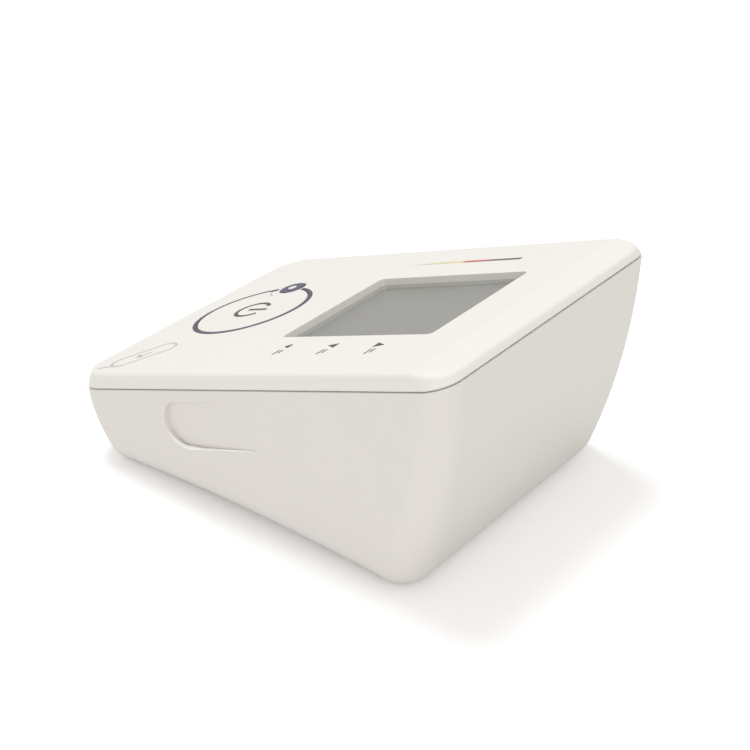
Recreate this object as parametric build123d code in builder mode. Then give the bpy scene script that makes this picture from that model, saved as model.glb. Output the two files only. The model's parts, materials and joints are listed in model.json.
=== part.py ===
from build123d import *
from math import cos, radians, sin, sqrt, tan
import os

os.makedirs("parts", exist_ok=True)

# Outer form: a wedge, low at the front (-Y) and tall at the rear, standing on four feet
body_width = 100.0          # across the seam between cover and case
seam_length = 142.5         # the seam's outline, measured up the slope
deck_angle = 19.6           # slope of the deck and of the seam, in degrees
seam_height = 45.8          # seam plane above the table, at mid length
seam_gap = 0.3              # shadow line between cover and case
seam_edge_radius = 0.35
front_corner = 9.1          # corner radii of the seam's outline
rear_corner = 7.6
belly_narrowing = 0.2       # half way down, where the walls bulge, each side stands in this far
belly_shortening = 11.7     # and the outline is this much shorter than the seam's
belly_angle = 10.5
belly_height = 23.1
belly_corner = 9.4
base_narrowing = 1.0        # the same at the foot of the case, before its edge is rounded
base_shortening = 30.5
base_lift = 0.4             # that outline's height above the table
base_shift = -1.0           # and how far it sits behind the middle
base_corner = 10.2
base_edge_radius = 7.2      # rounding between walls and underside
arch_rise = 2.6             # the underside arches up this much between its feet
arch_margin = 2.0           # the arch runs this far past the base outline at each end
case_wall = 2.2
tongue_depth = 2.2          # the cover's tongue reaches this far into the case
tongue_rebate = 1.15        # what the tongue's rebate leaves of the case wall
tongue_clearance = 0.15

# Cover
deck_rise = 4.7             # deck above the seam, square to it
skirt_draft = 16.0          # slope of the cover's edge band, in degrees
deck_corner_growth = 1.2    # the front corners get rounder towards the deck
deck_edge_radius = 1.5
deck_thickness = 2.0
skirt_wall = 2.1
crease_place = 61.5         # where the deck folds down towards the rear edge
crease_angle = 12.4

# Window and display, measured down from the deck
window_width = 46.1
window_length = 55.1
window_place = 20.5         # the window's centre, up the slope from the middle
window_corner = 1.6
lens_thickness = 1.2
lens_border = 2.2           # the lens reaches this far behind the opening's edge
lens_rib = 1.0
lens_clearance = 0.15
lcd_thickness = 2.8
lcd_border = 1.2
lcd_gap = 0.1
frame_wall = 1.4
frame_ledge = 1.0
frame_gap = 0.2
zebra_width = 2.0
zebra_inset = 1.2

# Buttons
start_place = -41.35        # centre of the start button, up the slope from the middle
ring_radius = 18.5          # middle line of the coloured ring
ring_width = 1.35
ring_depth = 1.2
ring_proud = 0.1
ring_gap = 0.03
button_gap = 0.22           # round the moving buttons
button_plate = 1.5
button_skirt = 1.2
button_proud = 0.2
button_travel = 0.5
button_edge_radius = 0.3
catch_reach = 0.7           # catch under the deck
catch_thickness = 1.0
catch_gap = 0.1
memory_offset = -18.9       # memory button, left of the start button's centre
memory_radius = 4.2
memory_collar = 1.0         # the ring stops this far from the memory button's hole
memory_web = 2.6            # wall of the deck between the two buttons
stem_radius = 1.6
switch_size = 6.2
switch_height = 3.4
plunger_radius = 1.5
plunger_rise = 1.0
plunger_gap = 0.05
plunger_fit = 0.06

# Main board, hung under the deck
board_depth = 8.6           # its upper face under the deck
board_thickness = 1.6
board_margin = 17.0         # from the board's edge to the side of the body
board_front = -62.0
board_rear = 50.0
board_corner = 2.0
post_radius = 2.8
post_inset = 3.6            # posts, from the board's edge
post_front = -56.5
post_rear = 46.0
board_screw_radius = 1.1
board_screw_bite = 4.5
board_screw_head = 2.2
board_screw_head_height = 1.5
chip_size = 10.0
chip_height = 1.4
chip_place = 8.0
buzzer_radius = 6.0
buzzer_height = 5.0
buzzer_inset = 15.0         # from the board's edge
buzzer_place = -34.0
sensor_size = 8.0
sensor_height = 2.8

# Battery bay, for four AA cells side by side
cell_diameter = 14.5
cell_length = 49.2
cell_nub = 1.3              # positive end of a cell
cell_nub_radius = 2.75
cell_edge_radius = 0.6
cell_count = 4
cell_pitch = 15.0
cell_lift = 12.8            # axis of the cells above the table
bay_place = -6.0            # middle of the bay, front to rear
bay_clearance = 0.45
bay_wall = 2.6
bay_roof = 1.6
spring_length = 4.2
spring_radius = 3.6
spring_wire = 0.35
spring_turns = 3
contact_thickness = 0.4
contact_width = 9.0
contact_height = 9.6

# Battery door
door_thickness = 2.0
door_gap = 0.3
door_ledge = 1.4            # how far the bay's walls overhang the door's edge
door_clearance = 0.1
tab_width = 5.0             # two tabs hook over the floor and carry the door
tab_thickness = 1.2
tab_reach = 2.4
tab_spread = 15.0
tab_swing = 5.2             # height of the slots that the tabs swing in
latch_width = 16.0
latch_length = 10.0
latch_slot = 1.0
latch_height = 2.4
latch_nose = 0.15
latch_thickness = 1.6
grip_count = 3
grip_pitch = 2.4
grip_radius = 0.5

# Feet and case screws
foot_radius = 5.0
foot_recess = 0.8
foot_inset = 14.0           # from the side of the body
foot_front = -44.0
foot_rear = 42.0
foot_gap = 0.05
foot_edge_radius = 0.4
screw_inset = 11.8          # from the side of the body
screw_front = -32.0
screw_rear = 24.8
screw_radius = 1.4
screw_head_radius = 2.7
screw_head_height = 2.2
screw_head_gap = 0.4
screw_bite = 7.0            # length of thread in the cover's boss
screw_fit = 0.05
boss_radius = 4.4
boss_shelf = 2.4
boss_gap = 0.05
cover_boss_radius = 3.6
cover_boss_drop = 6.0       # the cover's bosses reach this far under the seam

# Thumb scoop in the right side, measured along the seam and square to it
scoop_front = -35.4         # its round end
scoop_rear = 4.0            # where its floor runs out
scoop_top = 3.4
scoop_bottom = 18.2
scoop_depth = 1.6
scoop_wall = 1.8
scoop_flat = 0.02           # left straight between the two roundings of its end

# Pump, lying across the rear of the case
pump_end_room = 3.4         # between the motor's end cap and the right wall
pump_y = 42.0
pump_z = 22.0
motor_radius = 12.0
motor_length = 31.0
motor_wall = 1.0
magnet_thickness = 2.2
magnet_length = 22.0
magnet_sweep = 140.0
magnet_fit = 0.03
air_gap = 0.6
armature_length = 17.0
armature_slot = 1.6
armature_place = 8.0
end_cap_thickness = 1.4
end_cap_spigot = 2.0
end_cap_fit = 0.05
shaft_radius = 1.0
shaft_clearance = 0.05
crank_radius = 4.0
crank_length = 4.0
crank_throw = 1.4
crank_gap = 1.0
head_radius = 13.5
head_wall = 1.5
crank_case_length = 11.5
wobble_radius = 9.0
wobble_thickness = 1.2
wobble_stem = 0.8
cup_radius = 3.4
cup_depth = 2.8
cup_circle = 6.6
diaphragm_thickness = 1.6
chamber_length = 7.0
chamber_wall = 1.6
cradle_thickness = 3.0
cradle_width = 22.0
cradle_length = 26.0
cradle_gap = 0.1
rib_thickness = 1.6

# Air path from the pump to the cuff socket, the valve and the sensor
air_y = 13.5
manifold_size = 8.0
nozzle_radius = 2.0
nozzle_bore = 0.9
barb_length = 2.6
pump_nozzle_length = 6.0
tube_wall = 1.2
tube_fit = 0.02
tube_end_gap = 0.1
tube_gap = 1.0              # between the two barbs that a straight tube joins
socket_radius = 5.0
socket_bore = 3.0           # takes the cuff hose's plug
socket_depth = 10.0
socket_floor = 1.4
socket_flange = 6.6
socket_flange_thickness = 0.8
socket_sink = 0.1           # outer face of the socket, inside the body's left side
socket_length = 13.7        # without its barb
socket_fit = 0.05
nut_radius = 7.5
nut_thickness = 2.0
nut_room = 0.4              # between the nut and the left wall
valve_width = 11.0
valve_length = 17.0
valve_plate = 1.5
valve_core_radius = 2.0
valve_coil_radius = 3.8
valve_travel = 1.0
valve_seat_gap = 0.05
valve_stand = 0.1
sensor_nozzle = 2.2
sensor_tube_rise = 5.0

# The case narrows and shortens downwards from the seam
belly_width = body_width - 2 * belly_narrowing
belly_length = seam_length - belly_shortening
base_width = body_width - 2 * base_narrowing
base_length = seam_length - base_shortening

# Planes: the seam, the deck parallel to it, and an upright plane along the middle whose
# axes run up the slope and square to the seam
slope = radians(deck_angle)
seam = Plane(origin=(0, 0, seam_height), x_dir=(1, 0, 0), z_dir=(0, -sin(slope), cos(slope)))
deck = seam.offset(deck_rise)
side = Plane(origin=(0, 0, seam_height), x_dir=(0, cos(slope), sin(slope)), z_dir=(1, 0, 0))
belly_slope = radians(belly_angle)
belly = Plane(
    origin=(0, 0, belly_height),
    x_dir=(1, 0, 0),
    z_dir=(0, -sin(belly_slope), cos(belly_slope)),
)
base = Plane.XY.offset(base_lift)
case_top = seam.offset(-seam_gap / 2)
cover_foot = seam.offset(seam_gap / 2)
square_up = Axis(origin=(0, 0, seam_height), direction=(0, -sin(slope), cos(slope)))

# The arch of the underside is one long arc from front to rear
arch_half = base_length / 2 + arch_margin
arch_radius = (arch_half**2 + arch_rise**2) / (2 * arch_rise)
arch_centre = base_lift + arch_rise - arch_radius


def underside(y, depth=0.0):
    # height of the arched underside, or of the surface that lies `depth` inside it
    return arch_centre + sqrt((arch_radius + depth) ** 2 - (y - base_shift) ** 2)


def seam_at(y):
    return seam_height + y * tan(slope)


def outline(plane, width, length, front_radius, rear_radius, shift=0.0):
    with BuildSketch(plane) as sketch:
        with Locations((0, shift)):
            Rectangle(width, length)
        fillet(sketch.vertices().group_by(Axis.Y)[0], front_radius)
        fillet(sketch.vertices().group_by(Axis.Y)[-1], rear_radius)
    return sketch.sketch


def seam_outline(plane, inset):
    return outline(
        plane,
        body_width - 2 * inset,
        seam_length - 2 * inset,
        front_corner - inset,
        rear_corner - inset,
    )


def wall_form(inset):
    # the case's walls from foot to seam, or the surface that lies `inset` inside them
    shrink = 2 * inset
    corner = base_corner - inset
    with BuildPart() as form:
        loft(
            [
                outline(base, base_width - shrink, base_length - shrink, corner, corner, base_shift),
                outline(
                    belly,
                    belly_width - shrink,
                    belly_length - shrink,
                    belly_corner - inset,
                    belly_corner - inset,
                ),
                seam_outline(case_top, inset),
            ]
        )
    return form.part


def case_form(inset):
    # the walls with the arched underside and its rounded edge
    with BuildPart() as form:
        add(wall_form(inset))
        with BuildSketch(Plane.YZ):
            with Locations((base_shift, arch_centre)):
                Circle(arch_radius + inset)
        extrude(amount=body_width, both=True, mode=Mode.SUBTRACT)
        fillet(form.faces().sort_by(Axis.Z)[0].edges(), base_edge_radius - inset)
    return form.part


def arch_band(x, width, front, rear, low, high):
    # slab between two depths above the underside, bent like it
    with BuildPart() as band:
        with BuildSketch(Plane.YZ.offset(x - width / 2)):
            with Locations((base_shift, arch_centre)):
                Circle(arch_radius + high)
                Circle(arch_radius + low, mode=Mode.SUBTRACT)
            with Locations(((front + rear) / 2, 0)):
                Rectangle(rear - front, seam_height, mode=Mode.INTERSECT)
        extrude(amount=width)
    return band.part


# What keeps its place from the sides of the body
screw_x = body_width / 2 - screw_inset
foot_x = body_width / 2 - foot_inset
board_width = body_width - 2 * board_margin
post_x = board_width / 2 - post_inset
buzzer_x = board_width / 2 - buzzer_inset
pump_x = body_width / 2 - case_wall - pump_end_room - end_cap_thickness - motor_length
socket_face = body_width / 2 - socket_sink
socket_end = socket_length - socket_face
manifold_x = socket_end + 2 * barb_length + tube_gap + manifold_size / 2
nut_place = body_width / 2 - case_wall - nut_room

# Bay, door and air line share these places
row_half = cell_count * cell_pitch / 2
bay_half = row_half + bay_clearance
bay_length = cell_length + cell_nub + spring_length + 2 * contact_thickness
bay_front = bay_place - bay_length / 2
bay_rear = bay_place + bay_length / 2
bay_ceiling = cell_lift + cell_diameter / 2 + bay_clearance
bay_top = bay_ceiling + bay_roof
door_half = bay_half + door_ledge
door_front = bay_front - door_ledge + door_gap
door_rear = bay_rear + door_ledge - door_gap
air_z = bay_top + valve_stand + valve_width / 2
tab_places = (-tab_spread, tab_spread)
boss_places = [(-screw_x, screw_front), (screw_x, screw_front), (-screw_x, screw_rear), (screw_x, screw_rear)]
foot_places = [(-foot_x, foot_front), (foot_x, foot_front), (-foot_x, foot_rear), (foot_x, foot_rear)]
motor_end = pump_x + motor_length
head_end = pump_x - crank_case_length - diaphragm_thickness - chamber_length
tube_radius = nozzle_radius + tube_wall
cradle_base = pump_z - motor_radius - cradle_thickness
rib_places = [pump_x + 0.2 * motor_length, pump_x + 0.8 * motor_length]

# Hollow of the case: its inner form, less what stands up inside it
with BuildPart() as hollow:
    add(case_form(case_wall))
    with BuildSketch(Plane.XY):
        with Locations((0, bay_place)):
            Rectangle(2 * (bay_half + bay_wall), bay_length + 2 * bay_wall)
    extrude(amount=bay_top, mode=Mode.SUBTRACT)
    with BuildSketch(Plane.XY):
        with Locations((manifold_x, air_y)):
            Rectangle(manifold_size, manifold_size)
    extrude(amount=air_z - manifold_size / 2, mode=Mode.SUBTRACT)
    for x, y in boss_places:
        with BuildSketch(Plane.XY):
            with Locations((x, y)):
                Circle(boss_radius)
        extrude(amount=seam_at(y) - cover_boss_drop - boss_gap, mode=Mode.SUBTRACT)
    for x in rib_places:
        with BuildSketch(Plane.XY):
            with Locations((x, pump_y)):
                Rectangle(rib_thickness, cradle_width)
        extrude(amount=cradle_base, mode=Mode.SUBTRACT)
    with BuildSketch(side.offset(body_width / 2 - scoop_depth - scoop_wall)):
        with Locations(((scoop_front + scoop_rear) / 2, -(scoop_top + scoop_bottom) / 2)):
            Rectangle(scoop_rear - scoop_front + 2 * scoop_wall, scoop_bottom - scoop_top + 2 * scoop_wall)
    extrude(amount=body_width, mode=Mode.SUBTRACT)

# Cutter for the thumb scoop: a ramp with a round front end
with BuildPart() as scoop:
    with BuildSketch(side.offset(body_width / 2 - scoop_depth)):
        with Locations(((scoop_front + scoop_rear) / 2, -(scoop_top + scoop_bottom) / 2)):
            Rectangle(scoop_rear - scoop_front, scoop_bottom - scoop_top)
    extrude(amount=3 * scoop_depth)
    ramp = Plane(
        origin=side.from_local_coords((scoop_front, 0, body_width / 2 - scoop_depth)),
        x_dir=(0, -sin(slope), cos(slope)),
        z_dir=side.from_local_coords(Vector(-scoop_depth, 0, scoop_rear - scoop_front)) - side.origin,
    )
    split(bisect_by=ramp, keep=Keep.TOP)
    end_edges = scoop.edges().filter_by(Axis.X).sort_by(Axis.Y)
    fillet(end_edges[:2], (scoop_bottom - scoop_top - scoop_flat) / 2)

# Rebate round the case's rim, for the cover's tongue
with BuildPart() as rebate:
    add(wall_form(tongue_rebate))
    split(bisect_by=case_top.offset(-tongue_depth), keep=Keep.TOP)

# Case: walls, underside, battery bay, screw bosses, ribs for the pump
with BuildPart() as bottom_case:
    add(case_form(0.0))
    fillet(bottom_case.faces().sort_by(square_up)[-1].edges(), seam_edge_radius)
    add(hollow.part, mode=Mode.SUBTRACT)
    add(rebate.part, mode=Mode.SUBTRACT)
    add(scoop.part, mode=Mode.SUBTRACT)
    # room for the cells, and the opening that the door closes
    with BuildSketch(Plane.XY):
        with Locations((0, bay_place)):
            Rectangle(2 * bay_half, bay_length)
    extrude(amount=bay_ceiling, mode=Mode.SUBTRACT)
    door_room = door_thickness + door_clearance
    add(
        arch_band(0, 2 * door_half, bay_front - door_ledge, bay_rear + door_ledge, -case_wall, door_room),
        mode=Mode.SUBTRACT,
    )
    # slots for the door's tabs and its latch
    for x in tab_places:
        add(
            arch_band(x, tab_width + 2 * door_gap, bay_front - bay_wall, bay_front, door_thickness, tab_swing),
            mode=Mode.SUBTRACT,
        )
    add(arch_band(0, latch_width, bay_rear, bay_rear + bay_wall, door_thickness, tab_swing), mode=Mode.SUBTRACT)
    # feet and screws
    for x, y in foot_places:
        with BuildSketch(Plane.XY):
            with Locations((x, y)):
                Circle(foot_radius + foot_gap)
        extrude(amount=underside(y) + foot_recess, mode=Mode.SUBTRACT)
    for x, y in boss_places:
        boss_top = seam_at(y) - cover_boss_drop - boss_gap
        with BuildSketch(Plane.XY):
            with Locations((x, y)):
                Circle(screw_head_radius + screw_head_gap)
        extrude(amount=boss_top - boss_shelf, mode=Mode.SUBTRACT)
        with BuildSketch(Plane.XY):
            with Locations((x, y)):
                Circle(screw_radius + screw_fit)
        extrude(amount=boss_top, mode=Mode.SUBTRACT)
    # hole and flat seat for the air socket, in the left side
    with BuildSketch(Plane.YZ.offset(-body_width / 2)):
        with Locations((air_y, air_z)):
            Circle(socket_radius + socket_fit)
    extrude(amount=2 * case_wall, mode=Mode.SUBTRACT)
    with BuildSketch(Plane.YZ.offset(-body_width / 2)):
        with Locations((air_y, air_z)):
            Circle(socket_flange + socket_fit)
    extrude(amount=body_width / 2 - socket_face + socket_flange_thickness, mode=Mode.SUBTRACT)

bottom_case.part.label = "bottom_case"
export_step(bottom_case.part, "parts/bottom_case.step")

# Cover's tongue: stands in the rebate and follows the walls
with BuildPart() as tongue:
    add(wall_form(tongue_rebate + tongue_clearance))
    add(wall_form(case_wall), mode=Mode.SUBTRACT)
    split(bisect_by=case_top.offset(tongue_clearance - tongue_depth), keep=Keep.TOP)
    with BuildSketch(case_top):
        add(seam_outline(Plane.XY, tongue_rebate + tongue_clearance))
        add(seam_outline(Plane.XY, case_wall), mode=Mode.SUBTRACT)
    extrude(amount=seam_gap)


def cover_form(inset, thickness):
    # the cover's drafted edge band and creased deck, or the surface inside them
    draft = inset + (deck_rise - thickness) * tan(radians(skirt_draft))
    fold = deck_rise - thickness
    drop = (seam_length - crease_place) * tan(radians(crease_angle))
    with BuildPart() as form:
        loft(
            [
                seam_outline(cover_foot, inset),
                outline(
                    deck.offset(-thickness),
                    body_width - 2 * draft,
                    seam_length - 2 * draft,
                    front_corner - inset + deck_corner_growth,
                    rear_corner - inset,
                ),
            ],
            ruled=True,
        )
        with BuildSketch(side):
            with BuildLine():
                Polyline(
                    (crease_place, fold),
                    (seam_length, fold - drop),
                    (seam_length, seam_length),
                    (crease_place, seam_length),
                    close=True,
                )
            make_face()
        extrude(amount=body_width, both=True, mode=Mode.SUBTRACT)
    return form.part


memory_place = (memory_offset, start_place)
ring_inner = ring_radius - ring_width / 2
ring_outer = ring_radius + ring_width / 2
collar_radius = memory_radius + button_gap + memory_collar
web_radius = memory_radius + button_gap + memory_web
lens_width = window_width + 2 * lens_border
lens_length = window_length + 2 * lens_border
lens_top = deck.offset(-deck_thickness)
lcd_top = lens_top.offset(-lens_thickness - lcd_gap)
board_top = deck.offset(-board_depth)
board_under = board_top.offset(-board_thickness)
post_places = [(-post_x, post_front), (post_x, post_front), (-post_x, post_rear), (post_x, post_rear)]

# Cover
with BuildPart() as top_cover:
    add(cover_form(0.0, 0.0))
    fillet(top_cover.faces().sort_by(square_up)[-2:].edges(), deck_edge_radius)
    fillet(top_cover.faces().sort_by(square_up)[0].edges(), seam_edge_radius)
    add(cover_form(skirt_wall, deck_thickness), mode=Mode.SUBTRACT)
    add(tongue.part)
    # bosses for the case screws and posts for the board, up to the deck
    for x, y in boss_places:
        with BuildSketch(Plane.XY.offset(seam_at(y) - cover_boss_drop)):
            with Locations((x, y)):
                Circle(cover_boss_radius)
        extrude(amount=cover_boss_drop + deck_rise + cover_boss_radius)
    with BuildSketch(board_top):
        with Locations(*post_places):
            Circle(post_radius)
    extrude(amount=board_depth)
    split(bisect_by=deck, keep=Keep.BOTTOM)
    for x, y in boss_places:
        with BuildSketch(Plane.XY.offset(seam_at(y) - cover_boss_drop)):
            with Locations((x, y)):
                Circle(screw_radius + screw_fit)
        extrude(amount=screw_bite + screw_fit, mode=Mode.SUBTRACT)
    with BuildSketch(board_top):
        with Locations(*post_places):
            Circle(board_screw_radius + screw_fit)
    extrude(amount=board_screw_bite + screw_fit, mode=Mode.SUBTRACT)
    # rib that locates the lens
    with BuildSketch(lens_top):
        with Locations((0, window_place)):
            Rectangle(
                lens_width + 2 * (lens_clearance + lens_rib),
                lens_length + 2 * (lens_clearance + lens_rib),
            )
            Rectangle(lens_width + 2 * lens_clearance, lens_length + 2 * lens_clearance, mode=Mode.SUBTRACT)
    extrude(amount=-lens_thickness)
    # window
    with BuildSketch(deck):
        with Locations((0, window_place)):
            RectangleRounded(window_width, window_length, window_corner)
    extrude(amount=-deck_thickness, mode=Mode.SUBTRACT)
    # hole for the start button, groove for its ring, collar and hole of the memory button
    with BuildSketch(deck):
        with Locations((0, start_place)):
            Circle(ring_inner)
        with Locations(memory_place):
            Circle(web_radius, mode=Mode.SUBTRACT)
    extrude(amount=-deck_thickness, mode=Mode.SUBTRACT)
    with BuildSketch(deck):
        with Locations((0, start_place)):
            Circle(ring_outer + ring_gap)
        with Locations(memory_place):
            Circle(collar_radius, mode=Mode.SUBTRACT)
    extrude(amount=-ring_depth, mode=Mode.SUBTRACT)
    with BuildSketch(deck):
        with Locations(memory_place):
            Circle(memory_radius + button_gap)
    extrude(amount=-deck_thickness, mode=Mode.SUBTRACT)

top_cover.part.label = "top_cover"
export_step(top_cover.part, "parts/top_cover.step")

# Display window: a clear lens behind the opening
with BuildPart() as display_window:
    with BuildSketch(lens_top):
        with Locations((0, window_place)):
            Rectangle(lens_width, lens_length)
    extrude(amount=-lens_thickness)

display_window.part.label = "display_window"
export_step(display_window.part, "parts/display_window.step")

# Display: a glass panel on a conductive strip, in a frame that stands on the board
lcd_width = window_width + 2 * lcd_border
lcd_length = window_length + 2 * lcd_border
with BuildPart() as lcd_panel:
    with BuildSketch(lcd_top):
        with Locations((0, window_place)):
            Rectangle(lcd_width, lcd_length)
    extrude(amount=-lcd_thickness)

lcd_panel.part.label = "lcd_panel"
export_step(lcd_panel.part, "parts/lcd_panel.step")

lcd_under = lcd_top.offset(-lcd_thickness)
strip_length = lcd_width - 2 * frame_ledge
strip_place = window_place - lcd_length / 2 + zebra_inset + zebra_width / 2
strip_height = board_depth - deck_thickness - lens_thickness - lcd_gap - lcd_thickness
with BuildPart() as zebra_strip:
    with BuildSketch(lcd_under):
        with Locations((0, strip_place)):
            Rectangle(strip_length, zebra_width)
    extrude(amount=-strip_height)

zebra_strip.part.label = "zebra_strip"
export_step(zebra_strip.part, "parts/zebra_strip.step")

with BuildPart() as lcd_frame:
    with BuildSketch(board_top):
        with Locations((0, window_place)):
            Rectangle(
                lcd_width + 2 * (frame_gap + frame_wall),
                lcd_length + 2 * (frame_gap + frame_wall),
            )
            Rectangle(lcd_width - 2 * frame_ledge, lcd_length - 2 * frame_ledge, mode=Mode.SUBTRACT)
    extrude(amount=board_depth - deck_thickness - lens_thickness)
    with BuildSketch(lcd_under):
        with Locations((0, window_place)):
            Rectangle(lcd_width + 2 * frame_gap, lcd_length + 2 * frame_gap)
    extrude(amount=lcd_thickness + lcd_gap, mode=Mode.SUBTRACT)
    with BuildSketch(board_top):
        with Locations((0, strip_place)):
            Rectangle(strip_length + 2 * frame_gap, zebra_width + 2 * frame_gap)
    extrude(amount=strip_height, mode=Mode.SUBTRACT)

lcd_frame.part.label = "lcd_frame"
export_step(lcd_frame.part, "parts/lcd_frame.step")

# Coloured ring, broken by the memory button's collar
with BuildPart() as button_ring:
    with BuildSketch(deck.offset(-ring_depth)):
        with Locations((0, start_place)):
            Circle(ring_outer)
            Circle(ring_inner, mode=Mode.SUBTRACT)
        with Locations(memory_place):
            Circle(collar_radius + ring_gap, mode=Mode.SUBTRACT)
    extrude(amount=ring_depth + ring_proud)

button_ring.part.label = "button_ring"
export_step(button_ring.part, "parts/button_ring.step")

# Switches stand on the board; their plungers meet the stems of the buttons
body_top = switch_height - board_depth
stem_end = body_top + plunger_rise + plunger_gap
catch_top = -deck_thickness - catch_gap
catch_foot = catch_top - catch_thickness
button_under = button_proud - button_plate

# Start button: a shallow cap with a catch round its skirt, notched for the collar
start_radius = ring_inner - button_gap
notch_radius = web_radius + button_gap
with BuildPart() as start_button:
    with BuildSketch(deck.offset(catch_foot)):
        with Locations((0, start_place)):
            Circle(start_radius)
        with Locations(memory_place):
            Circle(notch_radius, mode=Mode.SUBTRACT)
    extrude(amount=button_proud - catch_foot)
    fillet(start_button.faces().sort_by(square_up)[-1].edges(), button_edge_radius)
    with BuildSketch(deck.offset(catch_foot)):
        with Locations((0, start_place)):
            Circle(start_radius + catch_reach)
        with Locations(memory_place):
            Circle(notch_radius, mode=Mode.SUBTRACT)
    extrude(amount=catch_thickness)
    with BuildSketch(deck.offset(catch_foot)):
        with Locations((0, start_place)):
            Circle(start_radius - button_skirt)
        with Locations(memory_place):
            Circle(notch_radius + button_skirt, mode=Mode.SUBTRACT)
    extrude(amount=button_under - catch_foot, mode=Mode.SUBTRACT)
    with BuildSketch(deck.offset(stem_end)):
        with Locations((0, start_place)):
            Circle(stem_radius)
    extrude(amount=button_under - stem_end)

start_button.part.label = "start_button"
export_step(start_button.part, "parts/start_button.step")

# Memory button: the same cap, smaller
with BuildPart() as memory_button:
    with BuildSketch(deck.offset(catch_foot)):
        with Locations(memory_place):
            Circle(memory_radius)
    extrude(amount=button_proud - catch_foot)
    fillet(memory_button.faces().sort_by(square_up)[-1].edges(), button_edge_radius)
    with BuildSketch(deck.offset(catch_foot)):
        with Locations(memory_place):
            Circle(memory_radius + catch_reach)
    extrude(amount=catch_thickness)
    with BuildSketch(deck.offset(stem_end)):
        with Locations(memory_place):
            Circle(stem_radius)
    extrude(amount=catch_foot - stem_end)

memory_button.part.label = "memory_button"
export_step(memory_button.part, "parts/memory_button.step")

plunger_depth = plunger_rise + button_travel + plunger_fit
for name, place in (("start", (0, start_place)), ("memory", memory_place)):
    with BuildPart() as switch:
        with BuildSketch(board_top):
            with Locations(place):
                Rectangle(switch_size, switch_size)
        extrude(amount=switch_height)
        with BuildSketch(board_top.offset(switch_height)):
            with Locations(place):
                Circle(plunger_radius + plunger_fit)
        extrude(amount=-plunger_depth - plunger_fit, mode=Mode.SUBTRACT)
    switch.part.label = name + "_switch"
    export_step(switch.part, "parts/" + name + "_switch.step")
    with BuildPart() as plunger:
        with BuildSketch(board_top.offset(switch_height + plunger_rise)):
            with Locations(place):
                Circle(plunger_radius)
        extrude(amount=-plunger_rise - plunger_depth + button_travel)
    plunger.part.label = name + "_plunger"
    export_step(plunger.part, "parts/" + name + "_plunger.step")

# Main board with its chips, sounder and pressure sensor
with BuildPart() as main_board:
    with BuildSketch(board_under):
        with Locations((0, (board_front + board_rear) / 2)):
            RectangleRounded(board_width, board_rear - board_front, board_corner)
        with Locations(*post_places):
            Circle(board_screw_radius + screw_fit, mode=Mode.SUBTRACT)
    extrude(amount=board_thickness)

main_board.part.label = "main_board"
export_step(main_board.part, "parts/main_board.step")

with BuildPart() as board_screws:
    with BuildSketch(board_under):
        with Locations(*post_places):
            Circle(board_screw_head)
    extrude(amount=-board_screw_head_height)
    with BuildSketch(board_under):
        with Locations(*post_places):
            Circle(board_screw_radius)
    extrude(amount=board_thickness + board_screw_bite)

board_screws.part.label = "board_screws"
export_step(board_screws.part, "parts/board_screws.step")

with BuildPart() as processor_chip:
    with BuildSketch(board_under):
        with Locations((0, chip_place)):
            Rectangle(chip_size, chip_size)
    extrude(amount=-chip_height)

processor_chip.part.label = "processor_chip"
export_step(processor_chip.part, "parts/processor_chip.step")

with BuildPart() as buzzer:
    with BuildSketch(board_under):
        with Locations((buzzer_x, buzzer_place)):
            Circle(buzzer_radius)
    extrude(amount=-buzzer_height)
    fillet(buzzer.faces().sort_by(square_up)[0].edges(), button_edge_radius)

buzzer.part.label = "buzzer"
export_step(buzzer.part, "parts/buzzer.step")

# Case screws, driven up from deep recesses in the underside
with BuildPart() as case_screws:
    for x, y in boss_places:
        shelf = seam_at(y) - cover_boss_drop - boss_gap - boss_shelf
        with BuildSketch(Plane.XY.offset(shelf)):
            with Locations((x, y)):
                Circle(screw_head_radius)
        extrude(amount=-screw_head_height)
        with BuildSketch(Plane.XY.offset(shelf)):
            with Locations((x, y)):
                Circle(screw_radius)
        extrude(amount=boss_shelf + boss_gap + screw_bite)

case_screws.part.label = "case_screws"
export_step(case_screws.part, "parts/case_screws.step")

# Rubber feet, set in shallow round recesses
foot_names = ["front_left_foot", "front_right_foot", "rear_left_foot", "rear_right_foot"]
for name, (x, y) in zip(foot_names, foot_places):
    with BuildPart() as foot:
        with BuildSketch(Plane.XY):
            with Locations((x, y)):
                Circle(foot_radius)
        extrude(amount=underside(y) + foot_recess)
        fillet(foot.faces().sort_by(Axis.Z)[0].edges(), foot_edge_radius)
    foot.part.label = name
    export_step(foot.part, "parts/" + name + ".step")

# Battery door: follows the arch, hooks over the floor with two tabs, snaps at the rear
with BuildPart() as battery_door:
    add(arch_band(0, 2 * (door_half - door_gap), door_front, door_rear, 0.0, door_thickness))
    tab_foot = case_wall + door_clearance
    for x in tab_places:
        riser = door_front + door_ledge
        add(arch_band(x, tab_width, door_front, riser, door_thickness, tab_foot + tab_thickness))
        add(arch_band(x, tab_width, door_front - tab_reach, riser, tab_foot, tab_foot + tab_thickness))
    for x in (-1, 1):
        slot_x = x * (latch_width - 2 * door_gap - 2 * latch_slot) / 2
        add(
            arch_band(
                slot_x,
                latch_slot,
                door_rear - latch_length,
                door_rear,
                -door_thickness,
                2 * door_thickness,
            ),
            mode=Mode.SUBTRACT,
        )
    hook_width = latch_width - 4 * latch_slot - 2 * door_gap
    hook_top = door_thickness + latch_height
    add(arch_band(0, hook_width, door_rear - latch_thickness, door_rear, door_thickness, hook_top))
    for i in range(grip_count):
        y = door_rear - latch_thickness - (i + 1) * grip_pitch
        with BuildSketch(Plane.YZ.offset(-hook_width / 2)):
            with Locations((y, underside(y))):
                Circle(grip_radius)
        extrude(amount=hook_width, mode=Mode.SUBTRACT)

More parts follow.
